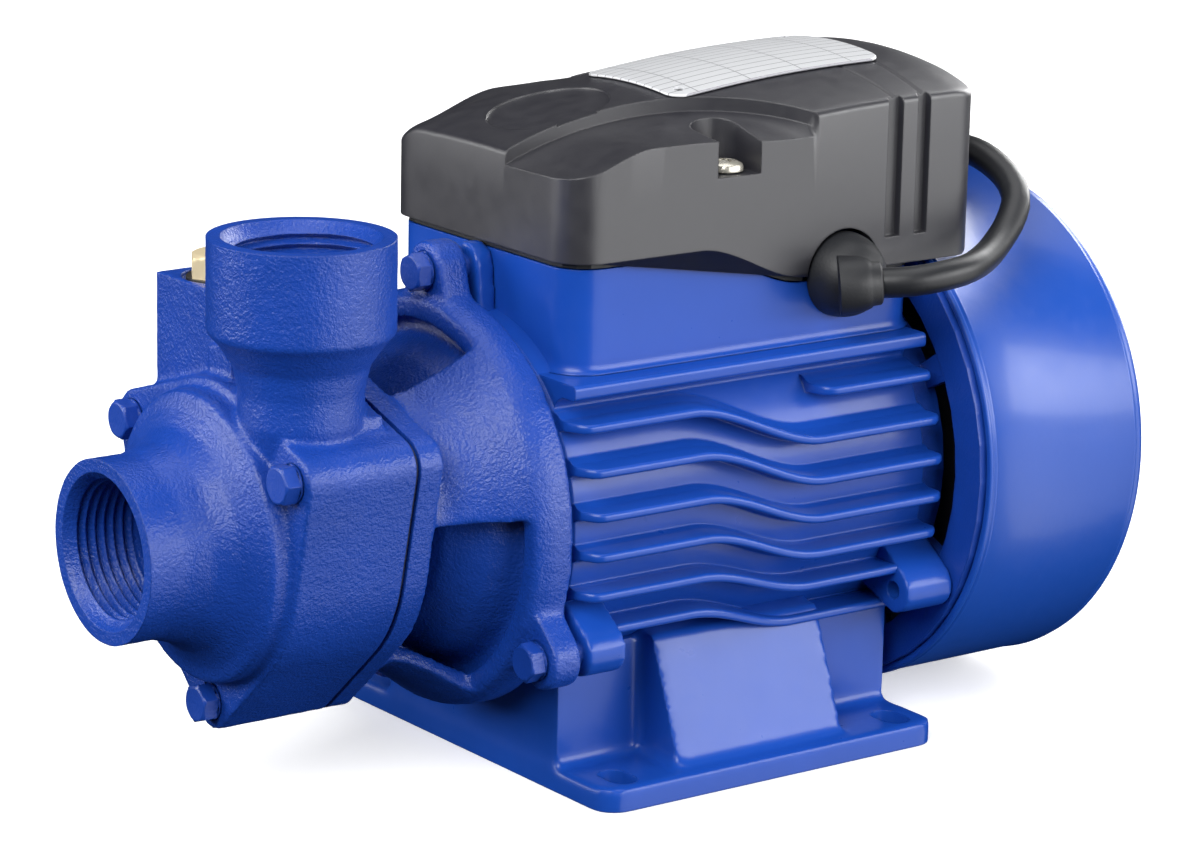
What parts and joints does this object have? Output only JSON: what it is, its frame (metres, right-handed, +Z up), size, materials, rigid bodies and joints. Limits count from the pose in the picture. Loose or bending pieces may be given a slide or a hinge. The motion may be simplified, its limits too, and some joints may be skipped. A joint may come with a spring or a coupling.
{
  "type": "centrifugal water pump",
  "caption": "Small close-coupled electric water pump: iron end with end inlet and top outlet, open bracket, finned motor on a foot, terminal box and mains lead.",
  "frame": {"origin": "middle of the foot, on the floor that the pump stands on", "axes": "+X along the shaft towards the fan, so the inlet faces -X; +Z up, the way the outlet faces; +Y away from the cable gland"},
  "size_m": [0.2513, 0.2339, 0.1589],
  "materials": {
    "cast_blue": "gloss enamel over rough cast iron",
    "frame_blue": "smooth gloss enamel over cast aluminium",
    "sheet_blue": "smooth gloss enamel on drawn sheet steel",
    "bolt_blue": "enamel sprayed over the hex heads",
    "black_plastic": "moulded black plastic, satin with a fine grain",
    "black_rubber": "matt black rubber or PVC",
    "plate_metal": "thin satin aluminium plate with blank printed fields",
    "steel": "machined steel",
    "plated_screw": "nickel plated",
    "brass": "machined brass",
    "copper": "varnished copper wire",
    "laminations": "stacked electrical steel",
    "rotor_cast": "steel laminations with a cast aluminium cage",
    "white_plastic": "moulded off-white plastic",
    "ceramic": "ceramic seal face",
    "carbon": "carbon seal face",
    "gasket": "pressed fibre sheet"
  },
  "bodies": {
    "pump": {"bearing_spring": "steel", "bracket": "cast_blue", "bracket_bolt_1": "bolt_blue", "bracket_bolt_2": "bolt_blue", "bracket_bolt_3": "bolt_blue", "cable_gland": "black_rubber", "capacitor": "white_plastic", "casing_bolt_1": "bolt_blue", "casing_bolt_2": "bolt_blue", "casing_bolt_3": "bolt_blue", "casing_gasket": "gasket", "cord": "black_rubber", "cord_coil": "black_rubber", "cord_tail": "black_rubber", "cover_screw_1": "plated_screw", "cover_screw_2": "plated_screw", "end_shield_bolt_1": "steel", "end_shield_bolt_2": "steel", "end_shield_bolt_3": "steel", "fan_cover": "sheet_blue", "front_bearing_outer": "steel", "mains_plug": "black_rubber", "motor_frame": "frame_blue", "nameplate": "plate_metal", "pump_casing": "cast_blue", "rear_bearing_outer": "steel", "rear_end_shield": "frame_blue", "seal_seat": "ceramic", "seal_seat_cup": "black_rubber", "stator_core": "laminations", "terminal_block": "white_plastic", "terminal_box_base": "sheet_blue", "terminal_box_cover": "black_plastic", "terminal_box_gasket": "black_rubber", "winding_front": "copper", "winding_rear": "copper"},
    "rotor": {"shaft": "steel", "rotor_core": "rotor_cast", "impeller": "brass", "impeller_key": "steel", "impeller_nut": "brass", "seal_ring": "carbon", "slinger": "black_rubber", "fan": "black_plastic", "fan_clip": "steel", "front_bearing_inner": "steel", "rear_bearing_inner": "steel"},
    "front_cage": {"front_bearing_balls": "steel"},
    "rear_cage": {"rear_bearing_balls": "steel"},
    "plug_seat": {"plug_washer": "black_rubber"},
    "filler_plug": {"priming_plug": "brass"}
  },
  "joints": [
    {"name": "rotor_spin", "type": "hinge", "parent": "pump", "child": "rotor", "pos_m": [0, 0, 0.063], "axis": [1, 0, 0], "continuous": true},
    {"name": "front_cage_spin", "type": "hinge", "parent": "pump", "child": "front_cage", "pos_m": [-0.06, 0, 0.063], "axis": [1, 0, 0], "continuous": true},
    {"name": "rear_cage_spin", "type": "hinge", "parent": "pump", "child": "rear_cage", "pos_m": [0.044, 0, 0.063], "axis": [1, 0, 0], "continuous": true},
    {"name": "plug_rise", "type": "slide", "parent": "pump", "child": "plug_seat", "axis": [0, 0, 1], "range_m": [0, 0.013]},
    {"name": "plug_turn", "type": "hinge", "parent": "plug_seat", "child": "filler_plug", "pos_m": [-0.1035, 0.019, 0.12], "axis": [0, 0, 1], "range_deg": [0, 3510]}
  ],
  "couplings": [
    {"joint": "front_cage_spin", "follows": "rotor_spin", "ratio": 0.3727},
    {"joint": "rear_cage_spin", "follows": "rotor_spin", "ratio": 0.3727},
    {"joint": "plug_turn", "follows": "plug_rise", "rad_per_m": 4699.5}
  ]
}
